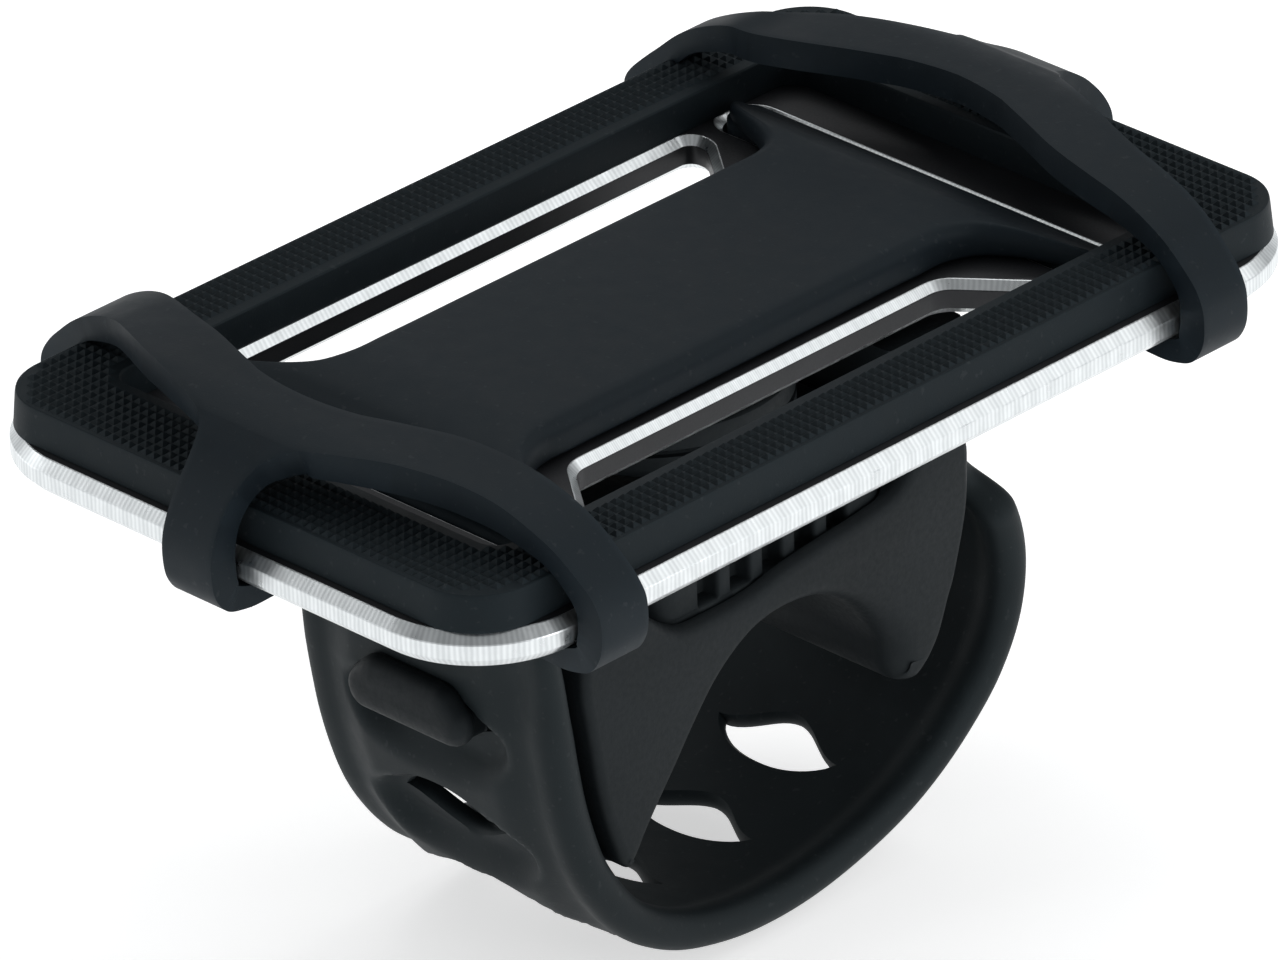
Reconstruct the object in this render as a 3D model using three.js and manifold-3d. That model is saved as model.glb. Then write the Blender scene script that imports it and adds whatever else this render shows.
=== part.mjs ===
// Handlebar phone mount: a machined deck with a rubber grip pad and a stretch
// harness, on a swivel turret, on a saddle that a rubber ladder strap holds to
// the handlebar.
//
// Millimetres. +Z is up, towards the phone. +X runs along the handlebar and +Y
// forward, along the phone. The origin is on the axis of a 25.4 mm handlebar
// seated in the saddle.
import * as THREE from 'three';
import { mergeVertices } from 'three/addons/utils/BufferGeometryUtils.js';
import Module from 'manifold-3d';

const wasm = await Module();
wasm.setup();

// ---------------------------------------------------------------- dimensions
const DECK_HEIGHT = 35.5;          // upper edge of the deck's side wall above the bar axis
const GAP = 0.3;                   // between pieces that touch

// deck: z = 0 is the upper edge of its side wall
const DECK_L = 110, DECK_W = 67.6, DECK_R = 11.85;
const DECK_TOP = 0.98, DECK_SIDE = -1.48, DECK_BOTTOM = -2.5, DECK_CHAMFER = 0.98;
const SLOT_X0 = 14, SLOT_X1 = 24, SLOT_Y = 29.5, SLOT_BEND_X = 21.7, SLOT_BEND_Y = 23.6;
const CROSS_Y0 = 33, CROSS_Y1 = 38, CROSS_X = 24.5, CUT_CHAMFER = 0.8;

// grip pad
const PAD_X = 31.25, PAD_Y = 52.9, PAD_R = 6.2, PAD_TOP = 4.5;
const PAD_IN_X = 24.75, PAD_IN_Y = 43.9, PAD_IN_R = 2.2;

// harness
const BRIDGE_X = 12.4, BRIDGE_TOP = 5.0, FOOT_BOTTOM = -4.6, LOOP_BOTTOM = -4.4;
const STRAP_T = 3.0, STRAP_OUT_X = 37.2, STRAP_OUT_Y = 58.3, STRAP_SPLIT = 0.4;
const ARCH_TOP = 11.0, NEAR_ARM_Y = 40.6, FAR_ARM_Y = 37.0;
const NEAR_LEFT = [2.5, 2.3], FAR_LEFT = [0, 1.6]; // the left arms' inner and outer edges sit this much nearer the middle

// swivel
const DISC_R = 13.2, DISC_TOP = -2.8, DISC_BOTTOM = -8.0;
const TURRET_X = 15, TURRET_Y = 15.5, TURRET_TOP = -9.6, TURRET_BOTTOM = -20.5;
const RIB_PITCH = 4.2, GROOVE_W = 2.45, GROOVE_D = 1.9;
const BOLT_R = 2.5, DETENT_R = 11.5, DETENT_BALL_R = 1.5, DETENT_COUNT = 12;
const SCREW_POS = [[-6.0, -6.0], [6.0, -6.0], [6.0, 6.0], [-6.0, 6.0]];

// saddle and ladder strap
const SADDLE_X = 16.5;
const PIN_Y = 21.0, PIN_Z = -16.2, PIN_R = 1.6, EYE_R = 3.3, ROOT_X = 13.3;
const HOLE_PITCH = 11.6;

// ------------------------------------------------------------------- helpers
function mesh3(positions, index) {
  const g = new THREE.BufferGeometry();
  g.setAttribute('position', new THREE.Float32BufferAttribute(positions, 3));
  g.setIndex(index);
  let v = 0;
  for (let i = 0; i < index.length; i += 3) {
    const [a, b, c] = [index[i], index[i + 1], index[i + 2]].map((k) => new THREE.Vector3(...positions.slice(3 * k, 3 * k + 3)));
    v += a.dot(b.cross(c));
  }
  if (v < 0) {
    for (let i = 0; i < index.length; i += 3) [index[i + 1], index[i + 2]] = [index[i + 2], index[i + 1]];
    g.setIndex(index);
  }
  return g;
}

// A closed body through loops that all have the same number of points.
function loft(loops) {
  const n = loops[0].length, positions = loops.flat(2), index = [];
  for (let k = 0; k + 1 < loops.length; k++) {
    for (let i = 0; i < n; i++) {
      const a = k * n + i, b = k * n + (i + 1) % n, c = b + n, d = a + n;
      index.push(a, b, c, a, c, d);
    }
  }
  for (const [loop, first, sign] of [[loops[0], 0, -1], [loops[loops.length - 1], (loops.length - 1) * n, 1]]) {
    const normal = new THREE.Vector3();
    const p = loop.map((q) => new THREE.Vector3(...q));
    for (let i = 0; i < n; i++) normal.add(p[i].clone().cross(p[(i + 1) % n]));
    normal.normalize();
    const u = new THREE.Vector3().subVectors(p[1], p[0]).normalize();
    const v = new THREE.Vector3().crossVectors(normal, u);
    const flat = p.map((q) => new THREE.Vector2(q.dot(u), q.dot(v)));
    for (const [a, b, c] of THREE.ShapeUtils.triangulateShape(flat, [])) {
      const area = (flat[b].x - flat[a].x) * (flat[c].y - flat[a].y) - (flat[c].x - flat[a].x) * (flat[b].y - flat[a].y);
      if (area * sign > 0) index.push(first + a, first + b, first + c);
      else index.push(first + a, first + c, first + b);
    }
  }
  return mesh3(positions, index);
}

function solid(geometry) {
  let g = geometry.clone();
  g.deleteAttribute('normal');
  g.deleteAttribute('uv');
  g = mergeVertices(g, 1e-4);
  return new wasm.Manifold(new wasm.Mesh({
    numProp: 3,
    vertProperties: new Float32Array(g.attributes.position.array),
    triVerts: new Uint32Array(g.index.array),
  }));
}

function geometryOf(manifold) {
  const m = manifold.getMesh();
  const g = new THREE.BufferGeometry();
  g.setAttribute('position', new THREE.Float32BufferAttribute(m.vertProperties, 3));
  g.setIndex(Array.from(m.triVerts));
  return g;
}

const join = (...parts) => parts.map((p) => (p.isBufferGeometry ? solid(p) : p)).reduce((a, b) => a.add(b));
const cut = (body, ...tools) => tools.map((p) => (p.isBufferGeometry ? solid(p) : p)).reduce((a, b) => a.subtract(b), body.isBufferGeometry ? solid(body) : body);

// Convex outline, counter-clockwise, with a radius at each corner, grown by `grow`.
function outline(corners, radii, grow = 0, steps = 5) {
  const n = corners.length, pts = [];
  const lines = corners.map((p, i) => {
    const q = corners[(i + 1) % n];
    const d = new THREE.Vector2(q[0] - p[0], q[1] - p[1]).normalize();
    return { p: new THREE.Vector2(p[0] + d.y * grow, p[1] - d.x * grow), d };
  });
  for (let i = 0; i < n; i++) {
    const a = lines[(i + n - 1) % n], b = lines[i];
    const den = a.d.x * b.d.y - a.d.y * b.d.x;
    const t = ((b.p.x - a.p.x) * b.d.y - (b.p.y - a.p.y) * b.d.x) / den;
    const c = new THREE.Vector2(a.p.x + a.d.x * t, a.p.y + a.d.y * t);
    const r = Math.max(radii[i] + grow, 0.05);
    const half = Math.acos(Math.min(1, a.d.dot(b.d))) / 2;
    const back = r * Math.tan(half);
    const centre = new THREE.Vector2(c.x - a.d.x * back - a.d.y * r, c.y - a.d.y * back + a.d.x * r);
    const start = Math.atan2(-a.d.x, a.d.y);
    for (let k = 0; k <= steps; k++) {
      const w = start + (2 * half * k) / steps;
      pts.push([centre.x + r * Math.cos(w), centre.y + r * Math.sin(w)]);
    }
  }
  return pts;
}
const rectangle = (x, y, r, grow = 0, steps = 5) => outline([[-x, -y], [x, -y], [x, y], [-x, y]], [r, r, r, r], grow, steps);
const at = (pts, z) => pts.map(([x, y]) => [x, y, z]);
const prism = (pts, z0, z1) => loft([at(pts, z0), at(pts, z1)]);
const box = (x0, x1, y0, y1, z0, z1) => prism([[x0, y0], [x1, y0], [x1, y1], [x0, y1]], z0, z1);
const circle = (r, n, x = 0, y = 0, turn = 0) => Array.from({ length: n }, (_, i) => {
  const w = turn + (2 * Math.PI * i) / n;
  return [x + r * Math.cos(w), y + r * Math.sin(w)];
});
// A turned piece about a line along Z at x, y: rows of [radius, z].
const turned = (rows, n, x = 0, y = 0, turn = 0) => loft(rows.map(([r, z]) => at(circle(r, n, x, y, turn), z)));
// A rod along X at y, z.
const rod = (r, x0, x1, y, z, n) => loft([x0, x1].map((x) => circle(r, n, 0, 0, Math.PI / n).map(([a, b]) => [x, y + a, z + b])));

// A flat band: each station is {p, w, n, hw, ht}: centre, width direction,
// thickness direction and the two half sizes, with corners cut by `c`.
function band(stations, c = 0.8) {
  return loft(stations.map(({ p, w, n, hw, ht }) => {
    const k = Math.min(c, ht * 0.8);
    return [[-hw, -ht + k], [-hw + k, -ht], [hw - k, -ht], [hw, -ht + k], [hw, ht - k], [hw - k, ht], [-hw + k, ht], [-hw, ht - k]]
      .map(([a, b]) => [p[0] + w[0] * a + n[0] * b, p[1] + w[1] * a + n[1] * b, p[2] + w[2] * a + n[2] * b]);
  }));
}

const rubber = (color) => new THREE.MeshStandardMaterial({ color, roughness: 0.75, metalness: 0 });
const MATERIALS = {
  deck: () => new THREE.MeshStandardMaterial({ color: 0xc9cdd0, roughness: 0.3, metalness: 0.9 }),
  pad: () => rubber(0x17191b),
  harness: () => rubber(0x1b1e22),
  strap: () => rubber(0x1c1f22),
  plastic: () => new THREE.MeshStandardMaterial({ color: 0x202326, roughness: 0.6, metalness: 0 }),
  nylon: () => new THREE.MeshStandardMaterial({ color: 0xd8d8d0, roughness: 0.5, metalness: 0 }),
  steel: () => new THREE.MeshStandardMaterial({ color: 0x9a9da0, roughness: 0.35, metalness: 1 }),
};

const mount = new THREE.Group();
const head = new THREE.Group();
head.position.z = DECK_HEIGHT;
mount.add(head);
function piece(name, shape, material) {
  const g = shape.isBufferGeometry ? shape : geometryOf(shape);
  g.computeVertexNormals();
  const m = new THREE.Mesh(g, MATERIALS[material]());
  m.name = name;
  head.add(m);
  return m;
}

// ---------------------------------------------------------------------- deck
{
  const ring = (grow, z) => at(rectangle(DECK_W / 2, DECK_L / 2, DECK_R, grow, 8), z);
  const body = loft([ring(-DECK_CHAMFER, DECK_BOTTOM), ring(0, DECK_SIDE), ring(0, 0), ring(-DECK_CHAMFER, DECK_TOP)]);
  const opening = (corners, radii, steps) => {
    const o = (grow, z) => at(outline(corners, radii, grow, steps), z);
    const c = CUT_CHAMFER;
    return loft([o(c + 0.2, DECK_BOTTOM - 0.2), o(0, DECK_BOTTOM + c), o(0, DECK_TOP - c), o(c + 0.2, DECK_TOP + 0.2)]);
  };
  const right = [[SLOT_X0, -SLOT_BEND_Y], [SLOT_BEND_X, -SLOT_Y], [SLOT_X1, -SLOT_Y], [SLOT_X1, SLOT_Y], [SLOT_BEND_X, SLOT_Y], [SLOT_X0, SLOT_BEND_Y]];
  const radii = [2.6, 2.6, 1.2, 1.2, 2.6, 2.6];
  const left = right.map(([x, y]) => [-x, y]).reverse();
  const cross = [[-CROSS_X, CROSS_Y0], [CROSS_X, CROSS_Y0], [CROSS_X, CROSS_Y1], [-CROSS_X, CROSS_Y1]];
  const crossR = [2.4, 2.4, 2.4, 2.4];
  const sinks = SCREW_POS.map(([x, y]) => turned([[1.8, DECK_BOTTOM - 0.1], [1.8, -0.75], [3.3, DECK_TOP + 0.1]], 12, x, y));
  piece('deck_plate', cut(body,
    opening(right, radii, 3), opening(left, [...radii].reverse(), 3),
    opening(cross, crossR, 4), opening(cross.map(([x, y]) => [-x, -y]), crossR, 4),
    ...sinks), 'deck');
  SCREW_POS.forEach(([x, y], i) => {
    const screw = turned([[1.2, -7.0], [1.5, -6.6], [1.5, -0.75], [2.9, DECK_TOP - 0.15]], 12, x, y);
    const hex = prism(circle(1.15, 6, x, y), DECK_TOP - 1.5, DECK_TOP + 0.5);
    piece(`deck_screw_${i + 1}`, cut(screw, hex), 'steel');
  });
}

// ------------------------------------------------------------------ grip pad
{
  const ring = (grow, z) => at(rectangle(PAD_X, PAD_Y, PAD_R, grow, 7), z);
  const hole = (grow, z) => at(rectangle(PAD_IN_X, PAD_IN_Y, PAD_IN_R, grow, 3), z);
  const base = DECK_TOP + GAP;
  piece('grip_pad', cut(
    loft([ring(0, base), ring(0, PAD_TOP - 0.4), ring(-0.4, PAD_TOP)]),
    loft([hole(0, base - 0.5), hole(0, PAD_TOP - 0.4), hole(0.5, PAD_TOP + 0.1)])), 'pad');
}

// ------------------------------------------------------- harness: the bridge
{
  const rows = [ // y, half width, top
    [0, BRIDGE_X, BRIDGE_TOP], [24, BRIDGE_X, BRIDGE_TOP], [27, 12.7, BRIDGE_TOP - 0.1], [29.4, 14.0, BRIDGE_TOP - 0.4],
    [31.3, 17.0, BRIDGE_TOP - 0.8], [32.8, 21.0, BRIDGE_TOP - 1.4], [34.2, 23.6, 3.1], [36.2, 24.0, 2.2], [37.6, 23.8, 1.5]];
  const all = [...rows.slice(1).reverse().map(([y, w, t]) => [-y, w, t]), ...rows];
  const bottom = DECK_TOP + GAP;
  const slab = loft(all.map(([y, w, t]) => {
    const e = Math.min(1.6, (t - bottom) * 0.7);
    return [[-w, bottom], [w, bottom], [w, t - e], [w - 0.35 * e, t - 0.35 * e], [w - 1.3 * e, t], [-w + 1.3 * e, t], [-w + 0.35 * e, t - 0.35 * e], [-w, t - e]]
      .map(([x, z]) => [x, y, z]);
  }));
  const legs = [-1, 1].flatMap((s) => {
    const tongue = outline(s > 0 ? [[-24.1, 33.4], [24.1, 33.4], [24.1, 37.6], [-24.1, 37.6]] : [[-24.1, -37.6], [24.1, -37.6], [24.1, -33.4], [-24.1, -33.4]],
      [2, 2, 2, 2], 0, 3);
    const foot = s > 0 ? box(-23.5, 23.5, 33.4, 41.2, FOOT_BOTTOM, DECK_BOTTOM - GAP) : box(-23.5, 23.5, -41.2, -33.4, FOOT_BOTTOM, DECK_BOTTOM - GAP);
    return [prism(tongue, FOOT_BOTTOM, bottom + 0.2), foot];
  });
  piece('harness_bridge', join(slab, ...legs), 'harness');
}

// ----------------------------------------- harness: loops round the deck edge
{
  const t = STRAP_T, z0 = LOOP_BOTTOM, top = STRAP_SPLIT - GAP;
  // J-shaped section: [across, z] from the inner end of the lower arm to the top.
  const j = (outer, inner, e) => [[inner, z0 + e], [outer - 3.2, z0 + e], [outer - 1.6 - e, z0 + 0.5 + e], [outer - 0.5 - e, z0 + 1.6 + e], [outer - e, z0 + 3.0], [outer - e, top],
    [outer - t, top], [outer - t, DECK_BOTTOM - GAP + 0.1], [outer - t - 0.1, DECK_BOTTOM - GAP], [inner, DECK_BOTTOM - GAP]];
  const side = (name, s, y0, y1) => piece(name, loft([[y0, 0.45], [y0 + 0.6, 0], [y1 - 0.6, 0], [y1, 0.45]].map(([y, e]) =>
    j(STRAP_OUT_X, 25.6, e).map(([x, z]) => [s * x, y, z]))), 'harness');
  side('near_left_hook', -1, -NEAR_ARM_Y - 2.9 + NEAR_LEFT[1], -NEAR_ARM_Y + 2.9 + NEAR_LEFT[0]);
  side('near_right_hook', 1, -NEAR_ARM_Y - 2.9, -NEAR_ARM_Y + 2.9);
  side('far_left_hook', -1, FAR_ARM_Y - 2.9 - FAR_LEFT[0], FAR_ARM_Y + 2.9 - FAR_LEFT[1]);
  side('far_right_hook', 1, FAR_ARM_Y - 2.9, FAR_ARM_Y + 2.9);
  const end = (name, s) => piece(name, loft([[-3.2, 0.45], [-2.6, 0], [2.6, 0], [3.2, 0.45]].map(([x, e]) =>
    j(STRAP_OUT_Y, 41.5, e).map(([y, z]) => [x, s * y, z]))), 'harness');
  end('near_end_hook', -1);
  end('far_end_hook', 1);
}

// --------------------------------------- harness: the arches over the phone
// s is -1 for the near arch and 1 for the far one; shift moves its arms along Y.
function arch(s, shift, left) {
  // outer surface [x, z] with the arm's far and near edges along Y
  const half = [
    [37.2, STRAP_SPLIT, -37.7, -43.5, 3.0], [37.2, 1.6, -37.7, -43.5, 3.0], [36.3, 3.3, -37.8, -43.6, 2.7], [34.4, 5.2, -37.9, -43.8, 2.2], [32.0, 7.1, -38.0, -44.1, 2.1],
    [29.3, 8.5, -38.1, -44.4, 2.4], [26.0, 9.6, -38.2, -44.6, 2.8], [22.0, 10.3, -38.4, -45.1, 3.0], [17.0, 10.8, -39.1, -46.4, 3.0], [11.0, 11.0, -41.2, -48.4, 3.0],
    [5.5, 11.0, -42.9, -50.6, 3.0], [0, 11.0, -43.3, -51.4, 3.0]];
  const stations = [...half.map(([x, ...rest]) => [-x, ...rest]), ...half.slice(0, -1).reverse()];
  const across = stations.map(([x, z, a, b, t], i) => {
    const p = stations[Math.max(0, i - 1)], q = stations[Math.min(stations.length - 1, i + 1)];
    let tx = q[0] - p[0], tz = q[1] - p[1];
    if (i === 0 || i === stations.length - 1) { tx = 0; tz = i === 0 ? 1 : -1; }
    const l = Math.hypot(tx, tz), n = [-tz / l, 0, tx / l];
    const k = x < 0 ? Math.min(1, Math.max(0, (-x - 16) / 14)) : 0, move = k * k * (3 - 2 * k);
    const a1 = a + left[0] * move, b1 = b + left[1] * move;
    const y = (a1 + b1) / 2 + shift * (0.65 + 0.35 * Math.min(1, Math.abs(x) / 30));
    return { p: [x - n[0] * t / 2, -s * y, z - n[2] * t / 2], w: [0, s, 0], n, hw: (a1 - b1) / 2, ht: t / 2 };
  });
  // arm over the end of the phone: outer surface [y, z, half width]
  const arm = [[-46.5, 11.0, 6.2], [-49.5, 10.7, 5.6], [-52.0, 9.6, 4.0], [-54.4, 7.8, 3.4], [-56.4, 5.6, 3.2], [-57.8, 3.2, 3.2], [-58.3, 1.6, 3.2], [-58.3, STRAP_SPLIT, 3.2]];
  const over = arm.map(([y, z, hw], i) => {
    const p = arm[Math.max(0, i - 1)], q = arm[Math.min(arm.length - 1, i + 1)];
    let ty = q[0] - p[0], tz = q[1] - p[1];
    if (i === arm.length - 1) { ty = 0; tz = -1; }
    if (i === 0) { ty = -1; tz = 0; }
    const l = Math.hypot(ty, tz), n = [0, tz / l, -ty / l];
    const yy = y + (i < 4 ? shift * 0.65 * (1 - i / 4) : 0), t = [3.0, 3.0, 2.8, 2.4, 2.4, 2.8, 3.0, 3.0][i];
    return { p: [0, -s * (yy - n[1] * t / 2), z - n[2] * t / 2], w: [1, 0, 0], n: [0, -s * n[1], n[2]], hw, ht: t / 2 };
  });
  return join(band(across), band(over));
}
piece('near_strap_arch', arch(-1, 0, NEAR_LEFT), 'harness');
piece('far_strap_arch', arch(1, NEAR_ARM_Y - FAR_ARM_Y, FAR_LEFT), 'harness');

// -------------------------------------------------------------------- swivel
{
  const disc = turned([[DISC_R - 0.5, DISC_BOTTOM], [DISC_R, DISC_BOTTOM + 0.5], [DISC_R, DISC_TOP - 0.5], [DISC_R - 0.5, DISC_TOP]], 32);
  const dimples = Array.from({ length: DETENT_COUNT }, (_, i) => {
    const w = Math.PI / 2 + (2 * Math.PI * i) / DETENT_COUNT;
    return turned([[1.3, DISC_BOTTOM - 0.1], [0.3, DISC_BOTTOM + 0.6]], 6, DETENT_R * Math.cos(w), DETENT_R * Math.sin(w));
  });
  const holes = SCREW_POS.map(([x, y]) => turned([[1.8, DISC_BOTTOM + 0.8], [1.8, DISC_TOP + 0.2]], 12, x, y));
  piece('swivel_disc', cut(disc, turned([[2.8, DISC_BOTTOM - 1], [2.8, -7]], 16), turned([[5.6, -6.9], [5.6, DISC_TOP + 1]], 24), turned([[2.8, -8], [2.8, -6]], 16), ...holes, ...dimples), 'plastic');

  // pivot bolt with its washer and lock nut
  const bolt = join(turned([[4.2, -5.7], [4.4, -5.5], [4.4, -3.4], [4.0, -3.05]], 20), turned([[2.0, -19.4], [BOLT_R, -18.9], [BOLT_R, -5.6]], 16));
  piece('pivot_bolt', cut(bolt, prism(circle(1.75, 6), -4.9, -2)), 'steel');
  piece('bolt_washer', cut(turned([[5.2, -6.6], [5.2, -6.0]], 24), turned([[2.8, -7], [2.8, -5]], 16)), 'steel');
  piece('swivel_washer', cut(turned([[9.2, -9.3], [9.2, -8.3]], 28), turned([[2.9, -10], [2.9, -8]], 16)), 'nylon');
  piece('pivot_nut', cut(join(prism(circle(4.62, 6, 0, 0, Math.PI / 6), -19.8, -16.9), turned([[3.9, -17.0], [3.9, -15.9]], 16)), turned([[2.8, -21], [2.8, -15]], 16)), 'steel');

  const grooves = [];
  for (let i = -2; i <= 2; i++) {
    for (const s of [-1, 1]) {
      const a = s * (TURRET_X - GROOVE_D), b = s * (TURRET_X + 1);
      grooves.push(box(Math.min(a, b), Math.max(a, b), i * RIB_PITCH - GROOVE_W / 2, i * RIB_PITCH + GROOVE_W / 2, -18.9, TURRET_TOP + 1));
    }
  }
  const body = loft([at(rectangle(TURRET_X, TURRET_Y, 3, 0, 4), TURRET_BOTTOM), at(rectangle(TURRET_X, TURRET_Y, 3, 0, 4), TURRET_TOP - 0.6), at(rectangle(TURRET_X, TURRET_Y, 3, -0.6, 4), TURRET_TOP)]);
  const pockets = [-1, 1].map((s) => turned([[1.85, -15.2], [1.85, TURRET_TOP + 1]], 12, 0, s * DETENT_R));
  piece('swivel_turret', cut(body, ...grooves, ...pockets, turned([[2.8, -22], [2.8, -8]], 16), prism(circle(5.0, 6, 0, 0, Math.PI / 6), -22, -15.5)), 'plastic');
  [-1, 1].forEach((s, i) => {
    const ball = new THREE.SphereGeometry(DETENT_BALL_R, 12, 8);
    ball.translate(0, s * DETENT_R, -9.8);
    piece(`detent_ball_${i + 1}`, solid(ball), 'steel');
    const turns = 3, steps = 30;
    const path = new THREE.CatmullRomCurve3(Array.from({ length: steps + 1 }, (_, k) => {
      const w = (2 * Math.PI * turns * k) / steps;
      return new THREE.Vector3(1.15 * Math.cos(w), s * DETENT_R + 1.15 * Math.sin(w), -14.7 + (2.7 * k) / steps);
    }));
    const wire = new THREE.ExtrudeGeometry(new THREE.Shape(circle(0.28, 6).map(([x, y]) => new THREE.Vector2(x, y))), { steps, extrudePath: path, bevelEnabled: false });
    piece(`detent_spring_${i + 1}`, solid(wire), 'steel');
  });
}

// -------------------------------------------------------------------- saddle
{
  // side profile [y, z], counter-clockwise
  const profile = [
    [-25.4, -17.6], [-25.8, -21.0], [-25.2, -25.0], [-23.9, -33.0], [-22.4, -38.2], [-21.5, -40.4], [-20.8, -41.0], [-20.1, -40.4],
    [-18.4, -38.0], [-17.1, -36.3], [-14.3, -32.8], [-11.6, -29.3], [-8.8, -26.2], [-6.6, -24.5], [-3.6, -23.0], [0, -22.5],
    [4.0, -23.1], [7.6, -24.9], [10.5, -27.3], [12.6, -30.0], [13.9, -32.7], [14.2, -35.2], [14.9, -36.6], [16.6, -36.9], [18.2, -36.0],
    [19.8, -34.2], [21.6, -30.2], [22.2, -28.9], [23.0, -26.5], [24.3, -21.2], [24.5, -18.3], [24.2, -14.4], [22.6, -12.8],
    [19.4, -12.8], [17.6, -14.2], [15.0, -16.4], [11.0, -17.2], [6.0, -17.7], [0, -18.4], [-4.0, -19.2], [-9.0, -19.4],
    [-13.4, -19.1], [-18.3, -16.0], [-23.4, -16.0]];
  const inset = (d) => profile.map((p, i) => {
    const n = profile.length, a = profile[(i + n - 1) % n], b = profile[(i + 1) % n];
    const u = new THREE.Vector2(p[0] - a[0], p[1] - a[1]).normalize(), v = new THREE.Vector2(b[0] - p[0], b[1] - p[1]).normalize();
    const m = new THREE.Vector2(-u.y - v.y, u.x + v.x).normalize();
    const k = d / Math.max(0.5, m.dot(new THREE.Vector2(-u.y, u.x)));
    return [p[0] + m.x * k, p[1] + m.y * k];
  });
  const face = (x, d) => inset(d).map(([y, z]) => [x, y, z]);
  const body = loft([face(-SADDLE_X, 0.7), face(-SADDLE_X + 0.7, 0), face(SADDLE_X - 0.7, 0), face(SADDLE_X, 0.7)]);
  piece('saddle', cut(body,
    prism(rectangle(TURRET_X, TURRET_Y, 3, GAP, 4), TURRET_BOTTOM - GAP, -5),
    box(-ROOT_X - 0.4, ROOT_X + 0.4, 17.3, 27, -21.6, -8),
    rod(PIN_R + 0.3, -15.4, 15.4, PIN_Y, PIN_Z, 12),
    box(-6.3, 6.3, -28, -22.6, -28.0, -23.9)), 'plastic');
  piece('strap_pin', rod(PIN_R, -15.1, 15.1, PIN_Y, PIN_Z, 12), 'steel');
  const lip = [[-7.6, -27.4], [7.6, -27.4], [7.2, -23.6], [5.4, -21.6], [-5.4, -21.6], [-7.2, -23.6]];
  const lipLoop = (y, k) => lip.map(([x, z]) => [x * k, y, -24.6 + (z + 24.6) * k]);
  piece('strap_hook', join(box(-6, 6, -31.4, -22.9, -27.7, -24.2), loft([lipLoop(-31.2, 1), lipLoop(-32.6, 1), lipLoop(-33.3, 0.9)])), 'plastic');
}

// -------------------------------------------------------------- ladder strap
{
  const line = [
    [22.4, -17.4], [24.8, -18.7], [27.2, -21.0], [29.5, -24.8], [30.7, -29.8], [30.0, -35.2], [27.3, -40.3], [23.1, -44.5], [16.6, -48.8],
    [8.4, -51.7], [0.3, -53.0], [-7.8, -52.6], [-14.4, -50.7], [-19.5, -47.4], [-22.6, -43.7], [-24.7, -40.1], [-26.1, -36.3], [-27.1, -32.6],
    [-27.9, -28.2], [-28.5, -24.0], [-29.0, -19.7], [-29.6, -15.5], [-30.0, -10.6]];
  const curve = new THREE.CatmullRomCurve3(line.map(([y, z]) => new THREE.Vector3(0, y, z)), false, 'centripetal');
  curve.arcLengthDivisions = 800;
  const total = curve.getLength();
  const hookU = (() => { let best = 0, d = 1e9; for (let i = 0; i <= 1000; i++) { const p = curve.getPointAt(i / 1000), e = p.y < -20 ? Math.abs(p.z + 26.2) : 99; if (e < d) { d = e; best = i / 1000; } } return best; })();
  const SPLIT_S = hookU * total - 1.5 * HOLE_PITCH;
  const frame = (s) => {
    const u = s / total, p = curve.getPointAt(u), t = curve.getTangentAt(u);
    return { p, t, n: new THREE.Vector3(0, -t.z, t.y) }; // n points out of the ring
  };
  const section = (s) => {
    const { p, n } = frame(s);
    const k = Math.min(1, Math.max(0, (s - 6.2) / 4.5)), root = k * k * (3 - 2 * k);
    const x = ROOT_X + (SADDLE_X - ROOT_X) * root;
    const end = Math.max(0, 1 - (total - s) / 5), taper = 1 - 0.35 * end * end;
    const thin = 1 - 0.4 * Math.max(0, 1 - (total - s) / 14);
    const bead = (1.5 + 0.4 * root) * thin, web = 1.25 * thin, crown = (1.5 + 1.15 * root) * thin, w = x * taper;
    return [[-w, -bead + 0.7], [-w + 0.8, -bead], [-w + 2.8, -bead], [-w + 3.9, -web], [w - 3.9, -web], [w - 2.8, -bead], [w - 0.8, -bead], [w, -bead + 0.7],
      [w, bead - 0.9], [w - 0.8, bead - 0.1], [w - 3.4, (bead + crown) / 2], [w - 7.5, crown], [-w + 7.5, crown], [-w + 3.4, (bead + crown) / 2], [-w + 0.8, bead - 0.1], [-w, bead - 0.9]]
      .map(([a, b]) => [a, p.y + n.y * b, p.z + n.z * b]);
  };
  const strip = (s0, s1, count) => loft(Array.from({ length: count + 1 }, (_, i) => section(s0 + ((s1 - s0) * i) / count)));
  const hole = (s, hx, hs) => {
    const { p, t, n } = frame(s);
    const o = Array.from({ length: 12 }, (_, i) => {
      const w = (2 * Math.PI * (i + 0.5)) / 12;
      const c = Math.cos(w), d = Math.sin(w);
      return [hx * Math.sign(c) * Math.abs(c) ** 0.7, hs * Math.sign(d) * Math.abs(d) ** 0.7];
    });
    return loft([-4, 4].map((k) => o.map(([a, b]) => [a, p.y + t.y * b + n.y * k, p.z + t.z * b + n.z * k])));
  };
  const h = (i) => hookU * total - i * HOLE_PITCH;
  const eye = join(rod(EYE_R, -ROOT_X, ROOT_X, PIN_Y, PIN_Z, 16), strip(0, SPLIT_S - GAP / 2, 34));
  piece('clamp_strap_band', cut(eye, rod(PIN_R + 0.35, -20, 20, PIN_Y, PIN_Z, 16), hole(h(2), 7.2, 2.9), hole(h(3), 7.2, 2.9), hole(h(4), 7.2, 2.9), hole(h(5), 7.2, 2.9)), 'strap');
  piece('clamp_strap_tail', cut(strip(SPLIT_S + GAP / 2, total, 14), hole(h(1), 7.2, 2.9), hole(h(0), 8.3, 3.1), hole(h(-1) + 0.8, 7.2, 2.4)), 'strap');
}

export default mount;
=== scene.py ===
import math

import bmesh
import bpy
import numpy as np
from mathutils import Matrix, Vector
from mathutils.geometry import tessellate_polygon


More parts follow.
